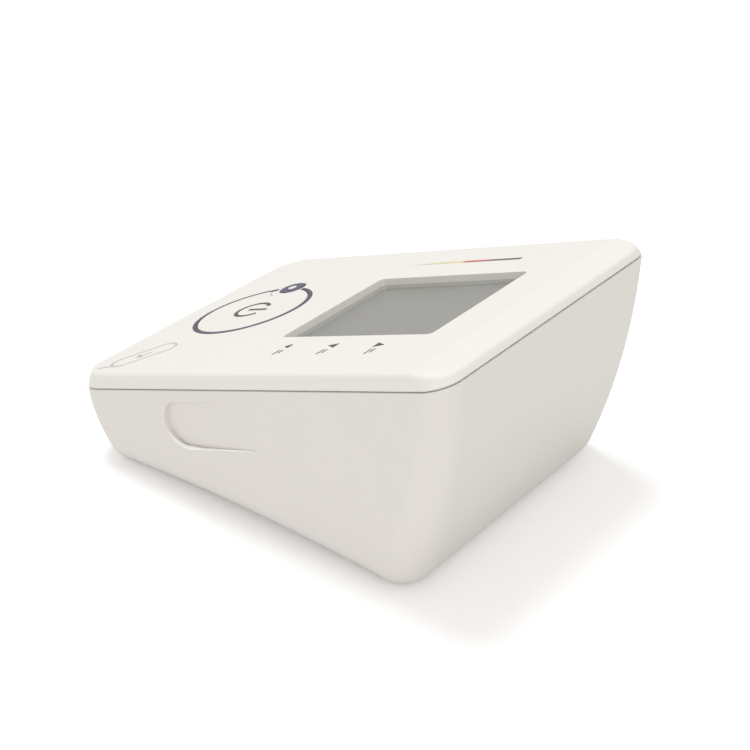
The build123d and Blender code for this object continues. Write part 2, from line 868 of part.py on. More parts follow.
battery_door.part.label = "battery_door"
export_step(battery_door.part, "parts/battery_door.step")

# Four cells, head to tail
cell_radius = cell_diameter / 2
for i in range(cell_count):
    x = (i - (cell_count - 1) / 2) * cell_pitch
    heading = 1 if i % 2 == 0 else -1
    foot_y = bay_place - heading * (bay_length / 2 - contact_thickness - spring_length)
    cell_plane = Plane(origin=(x, foot_y, cell_lift), x_dir=(1, 0, 0), z_dir=(0, heading, 0))
    with BuildPart() as cell:
        with BuildSketch(cell_plane):
            Circle(cell_radius)
        extrude(amount=cell_length)
        fillet(cell.edges().filter_by(GeomType.CIRCLE), cell_edge_radius)
        with BuildSketch(cell_plane.offset(cell_length)):
            Circle(cell_nub_radius)
        extrude(amount=cell_nub)
    cell.part.label = "battery_cell_" + str(i + 1)
    export_step(cell.part, "parts/battery_cell_" + str(i + 1) + ".step")

# Coil spring of a negative contact, standing on its plate
coil_height = spring_length - 2 * spring_wire
with BuildPart() as coil:
    with BuildLine() as wire:
        Helix(coil_height / spring_turns, coil_height, spring_radius)
    with BuildSketch(Plane(origin=wire.line @ 0, z_dir=wire.line % 0)):
        Circle(spring_wire)
    sweep(path=wire.line, is_frenet=True)


def cell_x(i):
    return (i - (cell_count - 1) / 2) * cell_pitch


def contact(wall_y, inward, cells, spring_cell):
    # plate on an end wall of the bay, with a coil spring for one of its cells
    centre = sum(cell_x(i) for i in cells) / len(cells)
    width = (len(cells) - 1) * cell_pitch + contact_width
    plate = Plane(origin=(centre, wall_y, cell_lift), x_dir=(1, 0, 0), z_dir=(0, inward, 0))
    with BuildPart() as piece:
        with BuildSketch(plate):
            Rectangle(width, contact_height)
        extrude(amount=contact_thickness)
        if spring_cell is not None:
            spring_y = wall_y + inward * (contact_thickness + spring_wire / 2)
            with Locations(Plane(origin=(cell_x(spring_cell), spring_y, cell_lift), z_dir=(0, inward, 0))):
                add(coil.part)
    return piece.part


contacts = [
    ("negative_contact", bay_front, 1, [0], 0),
    ("front_contact", bay_front, 1, [1, 2], 2),
    ("positive_contact", bay_front, 1, [3], None),
    ("left_contact", bay_rear, -1, [0, 1], 1),
    ("right_contact", bay_rear, -1, [2, 3], 3),
]
for name, wall_y, inward, cells, spring_cell in contacts:
    piece = contact(wall_y, inward, cells, spring_cell)
    piece.label = name
    export_step(piece, "parts/" + name + ".step")

# Pump motor, lying along X: a can with two magnets, an armature and an end cap
pump = Plane(origin=(pump_x, pump_y, pump_z), x_dir=(0, 1, 0), z_dir=(1, 0, 0))
with BuildPart() as motor_can:
    with BuildSketch(pump):
        Circle(motor_radius)
        Circle(shaft_radius + shaft_clearance, mode=Mode.SUBTRACT)
    extrude(amount=motor_length)
    with BuildSketch(pump.offset(motor_wall)):
        Circle(motor_radius - motor_wall)
    extrude(amount=motor_length, mode=Mode.SUBTRACT)

motor_can.part.label = "motor_can"
export_step(motor_can.part, "parts/motor_can.step")

magnet_outer = motor_radius - motor_wall - magnet_fit
magnet_inner = magnet_outer - magnet_thickness
for name, turn in (("front_magnet", 180), ("rear_magnet", 0)):
    with BuildPart() as magnet:
        with BuildSketch(pump.offset(motor_wall)):
            with BuildLine():
                CenterArc((0, 0), magnet_outer, turn - magnet_sweep / 2, magnet_sweep)
                CenterArc((0, 0), magnet_inner, turn - magnet_sweep / 2, magnet_sweep)
                for rim_turn in (turn - magnet_sweep / 2, turn + magnet_sweep / 2):
                    PolarLine(
                        (
                            magnet_inner * cos(radians(rim_turn)),
                            magnet_inner * sin(radians(rim_turn)),
                        ),
                        magnet_thickness,
                        rim_turn,
                    )
            make_face()
        extrude(amount=magnet_length)
    magnet.part.label = name
    export_step(magnet.part, "parts/" + name + ".step")

armature_radius = magnet_inner - air_gap
with BuildPart() as motor_armature:
    with BuildSketch(pump.offset(motor_wall + armature_place)):
        Circle(armature_radius)
        Circle(shaft_radius, mode=Mode.SUBTRACT)
        with PolarLocations(armature_radius - armature_slot, 3):
            Rectangle(2.5 * armature_slot, armature_slot, mode=Mode.SUBTRACT)
    extrude(amount=armature_length)

motor_armature.part.label = "motor_armature"
export_step(motor_armature.part, "parts/motor_armature.step")

end_cap_seat = pump.offset(motor_length)
shaft_tail = end_cap_thickness / 2
with BuildPart() as motor_end_cap:
    with BuildSketch(end_cap_seat):
        Circle(motor_radius)
    extrude(amount=end_cap_thickness)
    with BuildSketch(end_cap_seat.offset(-end_cap_spigot)):
        Circle(motor_radius - motor_wall - end_cap_fit)
    extrude(amount=end_cap_spigot)
    with BuildSketch(end_cap_seat.offset(-end_cap_spigot)):
        Circle(shaft_radius + shaft_clearance)
    extrude(amount=end_cap_spigot + shaft_tail + shaft_clearance, mode=Mode.SUBTRACT)

motor_end_cap.part.label = "motor_end_cap"
export_step(motor_end_cap.part, "parts/motor_end_cap.step")

# Shaft with its crank, which turns in the pump's crank case
crank_start = head_wall + crank_gap
with BuildPart() as motor_shaft:
    with BuildSketch(pump.offset(-crank_start - crank_length)):
        Circle(shaft_radius)
    extrude(amount=crank_start + crank_length + motor_length + shaft_tail)

motor_shaft.part.label = "motor_shaft"
export_step(motor_shaft.part, "parts/motor_shaft.step")

with BuildPart() as pump_crank:
    with BuildSketch(pump.offset(-crank_start)):
        Circle(crank_radius)
        Circle(shaft_radius, mode=Mode.SUBTRACT)
    extrude(amount=-crank_length)
    with BuildSketch(pump.offset(-crank_start - crank_length)):
        with Locations((crank_throw + shaft_radius, 0)):
            Circle(wobble_stem)
    extrude(amount=crank_length / 2, mode=Mode.SUBTRACT)

pump_crank.part.label = "pump_crank"
export_step(pump_crank.part, "parts/pump_crank.step")

with BuildPart() as crank_case:
    with BuildSketch(pump):
        Circle(head_radius)
    extrude(amount=-crank_case_length)
    with BuildSketch(pump.offset(-head_wall)):
        Circle(head_radius - head_wall)
    extrude(amount=-crank_case_length, mode=Mode.SUBTRACT)
    with BuildSketch(pump):
        Circle(shaft_radius + shaft_clearance + wobble_stem)
    extrude(amount=-head_wall, mode=Mode.SUBTRACT)

crank_case.part.label = "crank_case"
export_step(crank_case.part, "parts/crank_case.step")

# Wobble plate, which works the diaphragm's three cups
cup_foot = crank_case_length - cup_depth
with BuildPart() as wobble_plate:
    with BuildSketch(pump.offset(-cup_foot)):
        Circle(wobble_stem)
        with PolarLocations(cup_circle, 3):
            Circle(cup_radius - wobble_stem)
        with PolarLocations(cup_circle / 2, 3):
            Rectangle(cup_circle, 2 * wobble_stem)
    extrude(amount=wobble_thickness)

wobble_plate.part.label = "wobble_plate"
export_step(wobble_plate.part, "parts/wobble_plate.step")

diaphragm_seat = pump.offset(-crank_case_length)
with BuildPart() as pump_diaphragm:
    with BuildSketch(diaphragm_seat):
        Circle(head_radius)
    extrude(amount=-diaphragm_thickness)
    with BuildSketch(diaphragm_seat):
        with PolarLocations(cup_circle, 3):
            Circle(cup_radius)
    extrude(amount=cup_depth)
    with BuildSketch(diaphragm_seat.offset(-diaphragm_thickness)):
        with PolarLocations(cup_circle, 3):
            Circle(cup_radius - wobble_stem)
    extrude(amount=diaphragm_thickness + cup_depth - wobble_stem, mode=Mode.SUBTRACT)

pump_diaphragm.part.label = "pump_diaphragm"
export_step(pump_diaphragm.part, "parts/pump_diaphragm.step")

nozzle_place = (0, air_z - pump_z)
cap_seat = pump.offset(-crank_case_length - diaphragm_thickness)
with BuildPart() as pump_cap:
    with BuildSketch(cap_seat):
        Circle(head_radius)
    extrude(amount=-chamber_length)
    fillet(pump_cap.edges().sort_by(Axis.X)[0], chamber_wall / 2)
    with BuildSketch(cap_seat):
        Circle(head_radius - chamber_wall)
    extrude(amount=chamber_wall - chamber_length, mode=Mode.SUBTRACT)
    with BuildSketch(cap_seat.offset(-chamber_length)):
        with Locations(nozzle_place):
            Circle(nozzle_radius)
    extrude(amount=-pump_nozzle_length)
    with BuildSketch(cap_seat.offset(-chamber_length - pump_nozzle_length)):
        with Locations(nozzle_place):
            Circle(nozzle_bore)
    extrude(amount=pump_nozzle_length + chamber_wall, mode=Mode.SUBTRACT)

pump_cap.part.label = "pump_cap"
export_step(pump_cap.part, "parts/pump_cap.step")

# Rubber cradle under the motor, on two ribs of the case
cradle_middle = pump_x + motor_length / 2
with BuildPart() as pump_cradle:
    with BuildSketch(Plane.XY.offset(cradle_base)):
        with Locations((cradle_middle, pump_y)):
            Rectangle(cradle_length, cradle_width)
    extrude(amount=motor_radius / 2 + cradle_thickness)
    with BuildSketch(pump):
        Circle(motor_radius + cradle_gap)
    extrude(amount=motor_length, mode=Mode.SUBTRACT)

pump_cradle.part.label = "pump_cradle"
export_step(pump_cradle.part, "parts/pump_cradle.step")

# Air path: manifold block with four nozzles, on a pad on the bay's roof
air = Plane(origin=(manifold_x, air_y, air_z), x_dir=(1, 0, 0), z_dir=(0, 0, 1))
half_block = manifold_size / 2
reach = half_block + barb_length
with BuildPart() as air_manifold:
    with BuildSketch(air.offset(-half_block)):
        Rectangle(manifold_size, manifold_size)
    extrude(amount=manifold_size)
    for heading in ((1, 0, 0), (-1, 0, 0), (0, 1, 0), (0, 0, 1)):
        with BuildSketch(Plane(origin=air.origin, z_dir=heading)):
            Circle(nozzle_radius)
        extrude(amount=reach)
    for heading in ((1, 0, 0), (-1, 0, 0), (0, 1, 0), (0, 0, 1)):
        with BuildSketch(Plane(origin=air.origin, z_dir=heading)):
            Circle(nozzle_bore)
        extrude(amount=reach, mode=Mode.SUBTRACT)

air_manifold.part.label = "air_manifold"
export_step(air_manifold.part, "parts/air_manifold.step")

# Socket for the cuff hose's plug, held by a nut inside the left wall
socket = Plane(origin=(-socket_face, air_y, air_z), x_dir=(0, 1, 0), z_dir=(1, 0, 0))
socket_body_end = socket_depth + socket_floor
with BuildPart() as air_socket:
    with BuildSketch(socket):
        Circle(socket_flange)
    extrude(amount=socket_flange_thickness)
    with BuildSketch(socket):
        Circle(socket_radius)
    extrude(amount=socket_body_end)
    with BuildSketch(socket):
        Circle(nozzle_radius)
    extrude(amount=socket_length + barb_length)
    with BuildSketch(socket):
        Circle(socket_bore)
    extrude(amount=socket_depth, mode=Mode.SUBTRACT)
    with BuildSketch(socket):
        Circle(nozzle_bore)
    extrude(amount=socket_length + barb_length, mode=Mode.SUBTRACT)

air_socket.part.label = "air_socket"
export_step(air_socket.part, "parts/air_socket.step")

with BuildPart() as socket_nut:
    with BuildSketch(socket.offset(socket_face - nut_place)):
        RegularPolygon(nut_radius, 6)
        Circle(socket_radius + socket_fit, mode=Mode.SUBTRACT)
    extrude(amount=nut_thickness)

socket_nut.part.label = "socket_nut"
export_step(socket_nut.part, "parts/socket_nut.step")

# Exhaust valve: a coil in a steel frame, and the core that slides in it
valve_start = manifold_x + half_block + 2 * barb_length + tube_gap
valve = Plane(origin=(valve_start, air_y, air_z), x_dir=(0, 1, 0), z_dir=(1, 0, 0))
core_start = valve_plate + valve_travel + valve_seat_gap
with BuildPart() as valve_frame:
    with BuildSketch(valve):
        Rectangle(valve_width, valve_width)
    extrude(amount=valve_length)
    with BuildSketch(valve.offset(valve_plate)):
        Rectangle(valve_width, valve_width - 2 * valve_plate)
    extrude(amount=valve_length - 2 * valve_plate, mode=Mode.SUBTRACT)
    with BuildSketch(valve):
        Circle(nozzle_radius)
    extrude(amount=-barb_length)
    with BuildSketch(valve.offset(-barb_length)):
        Circle(nozzle_bore)
    extrude(amount=barb_length + valve_plate, mode=Mode.SUBTRACT)
    with BuildSketch(valve.offset(valve_length)):
        Circle(valve_core_radius + shaft_clearance)
    extrude(amount=-valve_plate, mode=Mode.SUBTRACT)

valve_frame.part.label = "valve_frame"
export_step(valve_frame.part, "parts/valve_frame.step")

with BuildPart() as valve_coil:
    with BuildSketch(valve.offset(valve_plate)):
        Circle(valve_coil_radius)
        Circle(valve_core_radius + shaft_clearance, mode=Mode.SUBTRACT)
    extrude(amount=valve_length - 2 * valve_plate)

valve_coil.part.label = "valve_coil"
export_step(valve_coil.part, "parts/valve_coil.step")

with BuildPart() as valve_core:
    with BuildSketch(valve.offset(core_start)):
        Circle(valve_core_radius)
    extrude(amount=valve_length - core_start + valve_travel)

valve_core.part.label = "valve_core"
export_step(valve_core.part, "parts/valve_core.step")

# Pressure sensor under the board, its nozzle in line with the sensor tube's upper run
bend = Vector(manifold_x, air_y, air_z + half_block + sensor_tube_rise)
lift = (board_under.origin - bend).dot(board_under.z_dir)
sensor_spot = board_under.to_local_coords(bend + board_under.z_dir * lift)
with BuildPart() as pressure_sensor:
    with BuildSketch(board_under):
        with Locations((sensor_spot.X, sensor_spot.Y)):
            Rectangle(sensor_size, sensor_size)
    extrude(amount=-sensor_height)
    with BuildSketch(board_under.offset(-sensor_height)):
        with Locations((sensor_spot.X, sensor_spot.Y)):
            Circle(nozzle_radius)
    extrude(amount=-sensor_nozzle)
    with BuildSketch(board_under.offset(-sensor_height - sensor_nozzle)):
        with Locations((sensor_spot.X, sensor_spot.Y)):
            Circle(nozzle_bore)
    extrude(amount=sensor_nozzle + sensor_height / 2, mode=Mode.SUBTRACT)

pressure_sensor.part.label = "pressure_sensor"
export_step(pressure_sensor.part, "parts/pressure_sensor.step")

# Soft tubes, pushed over the nozzles
sensor_end = bend + board_under.z_dir * (lift - sensor_height - tube_end_gap)
tube_routes = [
    (
        "socket_tube",
        [
            Vector(-socket_face + socket_length + tube_end_gap, air_y, air_z),
            Vector(manifold_x - half_block - tube_end_gap, air_y, air_z),
        ],
    ),
    (
        "valve_tube",
        [
            Vector(manifold_x + half_block + tube_end_gap, air_y, air_z),
            Vector(valve_start - tube_end_gap, air_y, air_z),
        ],
    ),
    (
        "pump_tube",
        [
            Vector(head_end - tube_end_gap, pump_y, air_z),
            Vector(manifold_x, pump_y, air_z),
            Vector(manifold_x, air_y + half_block + tube_end_gap, air_z),
        ],
    ),
    (
        "sensor_tube",
        [Vector(manifold_x, air_y, air_z + half_block + tube_end_gap), bend, sensor_end],
    ),
]
for name, points in tube_routes:
    heading = points[1] - points[0]
    with BuildPart() as tube:
        with BuildLine() as route:
            if len(points) == 2:
                Line(*points)
            else:
                after = points[2] - points[1]
                shorter = min(heading.length, after.length)
                turn = heading.get_angle(after)
                FilletPolyline(*points, radius=0.45 * shorter / tan(radians(turn / 2)))
        with BuildSketch(Plane(origin=points[0], z_dir=heading)):
            Circle(tube_radius)
            Circle(nozzle_radius + tube_fit, mode=Mode.SUBTRACT)
        sweep(path=route.line)
    tube.part.label = name
    export_step(tube.part, "parts/" + name + ".step")
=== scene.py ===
import json
import math

import bpy
import bmesh
from mathutils import Matrix, Vector
from mathutils.bvhtree import BVHTree


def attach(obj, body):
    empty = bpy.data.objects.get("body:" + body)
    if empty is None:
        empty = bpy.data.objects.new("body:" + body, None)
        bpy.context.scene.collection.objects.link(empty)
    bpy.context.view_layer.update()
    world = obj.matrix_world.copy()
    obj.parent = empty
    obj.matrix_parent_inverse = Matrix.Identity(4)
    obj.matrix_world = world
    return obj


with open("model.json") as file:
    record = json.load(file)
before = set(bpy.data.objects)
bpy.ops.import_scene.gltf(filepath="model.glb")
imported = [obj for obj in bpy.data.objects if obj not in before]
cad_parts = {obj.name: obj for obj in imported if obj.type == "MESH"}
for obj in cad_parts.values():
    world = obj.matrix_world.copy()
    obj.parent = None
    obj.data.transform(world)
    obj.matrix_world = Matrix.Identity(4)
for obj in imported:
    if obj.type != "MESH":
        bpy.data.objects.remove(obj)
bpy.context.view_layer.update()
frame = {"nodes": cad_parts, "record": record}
nodes = frame["nodes"]
print("frame loaded:", len(nodes), "nodes")

mm = 0.001

# the deck lies square above the seam, and both slope up to the rear (degrees, millimetres)
deck = {"slope": 19.6, "seamHeight": 45.8, "rise": 4.7}
slope = math.radians(deck["slope"])
upSlope = Vector((0, math.cos(slope), math.sin(slope)))
squareUp = Vector((0, -math.sin(slope), math.cos(slope)))


def deckPoint(x, v, lift=0.0):
    # across, up the slope and above the deck, in millimetres, to metres in the frame
    seam = Vector((x, 0, deck["seamHeight"]))
    return (seam + upSlope * v + squareUp * (deck["rise"] + lift)) * mm


def newGroup(name, inputs, outputs):
    group = bpy.data.node_groups.new(name, "ShaderNodeTree")
    for label, kind, value in inputs:
        socket = group.interface.new_socket(label, in_out="INPUT", socket_type=kind)
        socket.default_value = value
    for label in outputs:
        group.interface.new_socket(label, in_out="OUTPUT", socket_type="NodeSocketFloat")
    return group, group.nodes.new("NodeGroupInput"), group.nodes.new("NodeGroupOutput")


def mathNode(tree, operation, *values, clamp=False):
    node = tree.nodes.new("ShaderNodeMath")
    node.operation = operation
    node.use_clamp = clamp
    for socket, value in zip(node.inputs, values):
        if isinstance(value, bpy.types.NodeSocket):
            tree.links.new(value, socket)
        else:
            socket.default_value = value
    return node.outputs[0]


def noiseOf(tree, place, size, detail):
    # noise with spots about size millimetres across, centred on 0.5
    noise = tree.nodes.new("ShaderNodeTexNoise")
    noise.inputs["Detail"].default_value = detail
    tree.links.new(place, noise.inputs["Vector"])
    tree.links.new(mathNode(tree, "DIVIDE", 1 / mm, size), noise.inputs["Scale"])
    return noise


def buildMouldedGrain():
    # fine spark-eroded grain of a moulding, with a slow drift in tone and gloss
    speckle = 0.12
    group, given, result = newGroup(
        "mouldedGrain",
        [
            ("Grain Size", "NodeSocketFloat", 0.3),
            ("Mottle Size", "NodeSocketFloat", 14.0),
            ("Mottle", "NodeSocketFloat", 0.03),
            ("Roughness", "NodeSocketFloat", 0.45),
        ],
        ["Height", "Tone", "Roughness"],
    )
    place = group.nodes.new("ShaderNodeTexCoord").outputs["Object"]
    fine = noiseOf(group, place, given.outputs["Grain Size"], 3.0)
    fine.inputs["Roughness"].default_value = 0.6
    slow = noiseOf(group, place, given.outputs["Mottle Size"], 2.0)
    drift = mathNode(group, "SUBTRACT", slow.outputs["Fac"], 0.5)
    change = mathNode(group, "MULTIPLY", drift, given.outputs["Mottle"])
    speck = mathNode(group, "MULTIPLY", mathNode(group, "SUBTRACT", fine.outputs["Fac"], 0.5), speckle)
    rough = mathNode(group, "ADD", given.outputs["Roughness"], mathNode(group, "ADD", speck, change))
    group.links.new(fine.outputs["Fac"], result.inputs["Height"])
    group.links.new(mathNode(group, "ADD", 1.0, change), result.inputs["Tone"])
    group.links.new(rough, result.inputs["Roughness"])
    return group


def buildTurnedGrain():
    # fine parallel lines of drawn or ground metal, along one axis
    toneSpread = 0.2
    roughSpread = 0.25
    group, given, result = newGroup(
        "turnedGrain",
        [
            ("Stretch", "NodeSocketVector", (1.0, 1.0, 1.0)),
            ("Line Size", "NodeSocketFloat", 0.12),
            ("Roughness", "NodeSocketFloat", 0.3),
        ],
        ["Height", "Tone", "Roughness"],
    )
    place = group.nodes.new("ShaderNodeTexCoord").outputs["Object"]
    stretch = group.nodes.new("ShaderNodeVectorMath")
    stretch.operation = "MULTIPLY"
    group.links.new(place, stretch.inputs[0])
    group.links.new(given.outputs["Stretch"], stretch.inputs[1])
    lines = noiseOf(group, stretch.outputs[0], given.outputs["Line Size"], 4.0)
    drift = mathNode(group, "SUBTRACT", lines.outputs["Fac"], 0.5)
    tone = mathNode(group, "ADD", 1.0, mathNode(group, "MULTIPLY", drift, toneSpread))
    change = mathNode(group, "MULTIPLY", drift, roughSpread)
    group.links.new(lines.outputs["Fac"], result.inputs["Height"])
    group.links.new(tone, result.inputs["Tone"])
    group.links.new(mathNode(group, "ADD", given.outputs["Roughness"], change), result.inputs["Roughness"])
    return group


mouldedGrain = buildMouldedGrain()
turnedGrain = buildTurnedGrain()


def addGroup(tree, group, values):
    node = tree.nodes.new("ShaderNodeGroup")
    node.node_tree = group
    for label, value in values.items():
        node.inputs[label].default_value = value
    return node


def newMaterial(name):
    material = bpy.data.materials.new(name)
    material.use_nodes = True
    tree = material.node_tree
    return material, tree, tree.nodes["Principled BSDF"]


def finishSurface(tree, shader, grain, color, bumpDepth, bumpStrength):
    # colour times the group's tone, its roughness, and its height as a bump
    tint = tree.nodes.new("ShaderNodeVectorMath")
    tint.operation = "SCALE"
    tint.inputs[0].default_value = color
    bump = tree.nodes.new("ShaderNodeBump")
    bump.inputs["Distance"].default_value = bumpDepth * mm
    bump.inputs["Strength"].default_value = bumpStrength
    tree.links.new(grain.outputs["Tone"], tint.inputs["Scale"])
    tree.links.new(tint.outputs[0], shader.inputs["Base Color"])
    tree.links.new(grain.outputs["Roughness"], shader.inputs["Roughness"])
    tree.links.new(grain.outputs["Height"], bump.inputs["Height"])
    tree.links.new(bump.outputs[0], shader.inputs["Normal"])


# what a moulding has unless its own finish says otherwise (sizes in millimetres)
plainMoulding = {
    "roughness": 0.5, "grainSize": 0.25, "grainDepth": 0.015,
    "mottleSize": 14.0, "mottle": 0.03, "bump": 0.3,
    "ior": 1.5, "gloss": 0.5, "coat": 0.0, "subsurface": 0.0, "depth": 0.5,
}


def plastic(name, settings):
    finish = {**plainMoulding, **settings}
    material, tree, shader = newMaterial(name)
    grain = addGroup(tree, mouldedGrain, {
        "Grain Size": finish["grainSize"],
        "Mottle Size": finish["mottleSize"],
        "Mottle": finish["mottle"],
        "Roughness": finish["roughness"],
    })
    finishSurface(tree, shader, grain, finish["color"], finish["grainDepth"], finish["bump"])
    shader.inputs["IOR"].default_value = finish["ior"]
    shader.inputs["Specular IOR Level"].default_value = finish["gloss"]
    shader.inputs["Coat Weight"].default_value = finish["coat"]
    shader.inputs["Coat Roughness"].default_value = 0.1
    shader.inputs["Subsurface Weight"].default_value = finish["subsurface"]
    shader.inputs["Subsurface Radius"].default_value = (1.0, 0.8, 0.6)
    shader.inputs["Subsurface Scale"].default_value = finish["depth"] * mm
    return material


def metal(name, finish):
    material, tree, shader = newMaterial(name)
    grain = addGroup(tree, turnedGrain, {
        "Stretch": finish["stretch"],
        "Line Size": finish["lineSize"],
        "Roughness": finish["roughness"],
    })
    finishSurface(tree, shader, grain, finish["color"], finish["lineDepth"], 0.3)
    shader.inputs["Metallic"].default_value = 1.0
    return material


# housing, buttons and feet
coverFinish = {
    "color": (0.8, 0.776, 0.74), "grainSize": 0.22, "grainDepth": 0.012,
    "mottle": 0.02, "gloss": 0.25,
}
caseFinish = {"color": (0.775, 0.742, 0.7), "grainSize": 0.35, "grainDepth": 0.02}
doorFinish = {**caseFinish, "mottleSize": 9.0}
buttonFinish = {
    "color": (0.8, 0.777, 0.735), "roughness": 0.45, "grainSize": 0.18, "grainDepth": 0.008,
    "mottle": 0.02, "gloss": 0.25,
}
ringFinish = {
    "color": (0.06, 0.057, 0.09), "roughness": 0.4, "grainSize": 0.15, "grainDepth": 0.005,
    "gloss": 0.3,
}
memoryFinish = {
    "color": (0.05, 0.047, 0.1), "roughness": 0.35, "grainSize": 0.15, "grainDepth": 0.005,
    "gloss": 0.35,
}
frameFinish = {"color": (0.62, 0.62, 0.6), "grainSize": 0.3, "grainDepth": 0.02}
footFinish = {"color": (0.24, 0.24, 0.235), "roughness": 0.8, "grainDepth": 0.03, "ior": 1.45}
socketFinish = {"color": (0.075, 0.075, 0.08), "roughness": 0.45, "grainSize": 0.2, "grainDepth": 0.01}

# parts inside
blackFinish = {"color": (0.02, 0.02, 0.022)}
greyFinish = {"color": (0.1, 0.1, 0.105)}
naturalFinish = {"color": (0.66, 0.65, 0.6), "roughness": 0.45, "grainSize": 0.3}
boardFinish = {
    "color": (0.012, 0.09, 0.03), "roughness": 0.35, "grainSize": 0.8, "grainDepth": 0.01,
    "coat": 0.5,
}
stripFinish = {"color": (0.32, 0.12, 0.13), "roughness": 0.6, "grainSize": 0.1, "grainDepth": 0.01}
siliconeFinish = {
    "color": (0.6, 0.6, 0.58), "roughness": 0.45, "grainSize": 0.5, "grainDepth": 0.01,
    "subsurface": 0.4, "depth": 1.0,
}
cellFinish = {
    "color": (0.03, 0.03, 0.035), "roughness": 0.3, "grainSize": 0.6, "grainDepth": 0.005,
    "coat": 0.6,
}
steelFinish = {
    "color": (0.55, 0.55, 0.54), "stretch": (0.1, 1.0, 1.0), "lineSize": 0.15,
    "lineDepth": 0.01, "roughness": 0.32,
}
copperFinish = {
    "color": (0.45, 0.13, 0.04), "stretch": (1.0, 0.15, 0.15), "lineSize": 0.2,
    "lineDepth": 0.01, "roughness": 0.3,
}

plasticSlots = {
    "cover_plastic": coverFinish,
    "case_plastic": caseFinish,
    "door_plastic": doorFinish,
    "button_plastic": buttonFinish,
    "ring_plastic": ringFinish,
    "memory_plastic": memoryFinish,
    "frame_plastic": frameFinish,
    "foot_rubber": footFinish,
    "socket_plastic": socketFinish,
    "switch_plastic": blackFinish,
    "plunger_plastic": greyFinish,
    "board_laminate": boardFinish,
    "chip_plastic": blackFinish,
    "buzzer_plastic": blackFinish,
    "sensor_plastic": naturalFinish,
    "strip_rubber": stripFinish,
    "end_cap_plastic": blackFinish,
    "pump_plastic": blackFinish,
    "diaphragm_rubber": greyFinish,
    "cradle_rubber": greyFinish,
    "magnet_ferrite": blackFinish,
    "manifold_plastic": naturalFinish,
    "tube_silicone": siliconeFinish,
    "cell_jacket": cellFinish,
}
metalSlots = {
    "screw_steel": steelFinish,
    "contact_steel": steelFinish,
    "motor_steel": steelFinish,
    "armature_iron": steelFinish,
    "shaft_steel": steelFinish,
    "valve_steel": steelFinish,
    "coil_copper": copperFinish,
}


def materialName(slotName):
    first, *others = slotName.split("_")
    return first + "".join(word.title() for word in others)


materials = {slotName: plastic(materialName(slotName), finish) for slotName, finish in plasticSlots.items()}
for slotName, finish in metalSlots.items():
    materials[slotName] = metal(materialName(slotName), finish)

lensFinish = {"color": (0.9, 0.92, 0.9), "haze": 0.01, "gloss": 0.04, "edgeBlend": 0.2, "roughness": 0.08}


def windowLens():
    # clear sheet: only its gloss and a little haze are seen, more of both at a low angle
    material, tree, shader = newMaterial("windowLens")
    smears = {"Grain Size": 3.0, "Mottle": 0.01, "Roughness": lensFinish["roughness"]}
    grain = addGroup(tree, mouldedGrain, smears)
    edge = tree.nodes.new("ShaderNodeLayerWeight")
    edge.inputs["Blend"].default_value = lensFinish["edgeBlend"]
    gloss = mathNode(tree, "MULTIPLY", edge.outputs["Fresnel"], lensFinish["gloss"])
    alpha = mathNode(tree, "ADD", gloss, lensFinish["haze"], clamp=True)
    shader.inputs["Base Color"].default_value = (*lensFinish["color"], 1)
    tree.links.new(grain.outputs["Roughness"], shader.inputs["Roughness"])
    tree.links.new(alpha, shader.inputs["Alpha"])
    return material


# unlit grey panel under the lens
displayFinish = {
    "color": (0.272, 0.268, 0.25), "roughness": 0.3, "grainSize": 0.5, "grainDepth": 0.002,
    "bump": 0.1, "mottleSize": 30.0, "gloss": 0.1,
}
materials["window_lens"] = windowLens()
materials["display_glass"] = plastic("displayGlass", displayFinish)

for entry in frame["record"]["subparts"]:
    node = nodes[entry["node"]]
    node.data.materials.clear()
    node.data.materials.append(materials[entry["material_slot"]])
print("materials:", len(materials))


def turnFaces(mesh, outward):
    # each face looks the way that outward gives for its middle
    for face in mesh.faces:
        face.normal_update()
        if face.normal.dot(outward(face.calc_center_median())) < 0:
            face.normal_flip()


def addPiece(name, mesh, material, body, thickness=None):
    # a piece with a thickness has the side that shows as its mesh, and the rest behind it
    data = bpy.data.meshes.new(name)
    mesh.to_mesh(data)
    mesh.free()
    data.materials.append(material)
    piece = bpy.data.objects.new(name, data)
    bpy.context.scene.collection.objects.link(piece)
    if thickness:
        solid = piece.modifiers.new("thickness", "SOLIDIFY")
        solid.thickness = thickness * mm
        solid.offset = -1
    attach(piece, body)


def arcPoints(center, radius, start, end, count):
    points = []
    for i in range(count):
        turn = math.radians(start + (end - start) * i / (count - 1))
        points.append((center[0] + radius * math.cos(turn), center[1] + radius * math.sin(turn)))
    return points


def stroke(points, width, closed=False):
    # line of even width: the two points at its edges, beside each of its own points
    line = [Vector(point) for point in points]
    last = len(line) - 1
    pairs = []
    for i, here in enumerate(line):
        headings = []
        if closed or i > 0:
            headings.append((here - line[i - 1]).normalized())
        if closed or i < last:
            headings.append((line[(i + 1) % len(line)] - here).normalized())
        heading = sum(headings, Vector((0, 0))).normalized()
        side = Vector((-heading.y, heading.x)) * width / 2
        if len(headings) == 2:
            side /= max(heading.dot(headings[1]), 0.5)
        pairs.append((here + side, here - side))
    return "stroke", pairs, closed


def fill(outline):
    return "fill", outline, True


# ink on the deck: its face stands this far above the moulding (millimetres)
inkFilm = {"height": 0.03, "thickness": 0.024}


def inkMaterial(name, color):
    ink = {"roughness": 0.45, "grainSize": 0.12, "grainDepth": 0.004, "mottleSize": 3.0, "mottle": 0.06}
    return plastic(name, {**ink, "color": color})


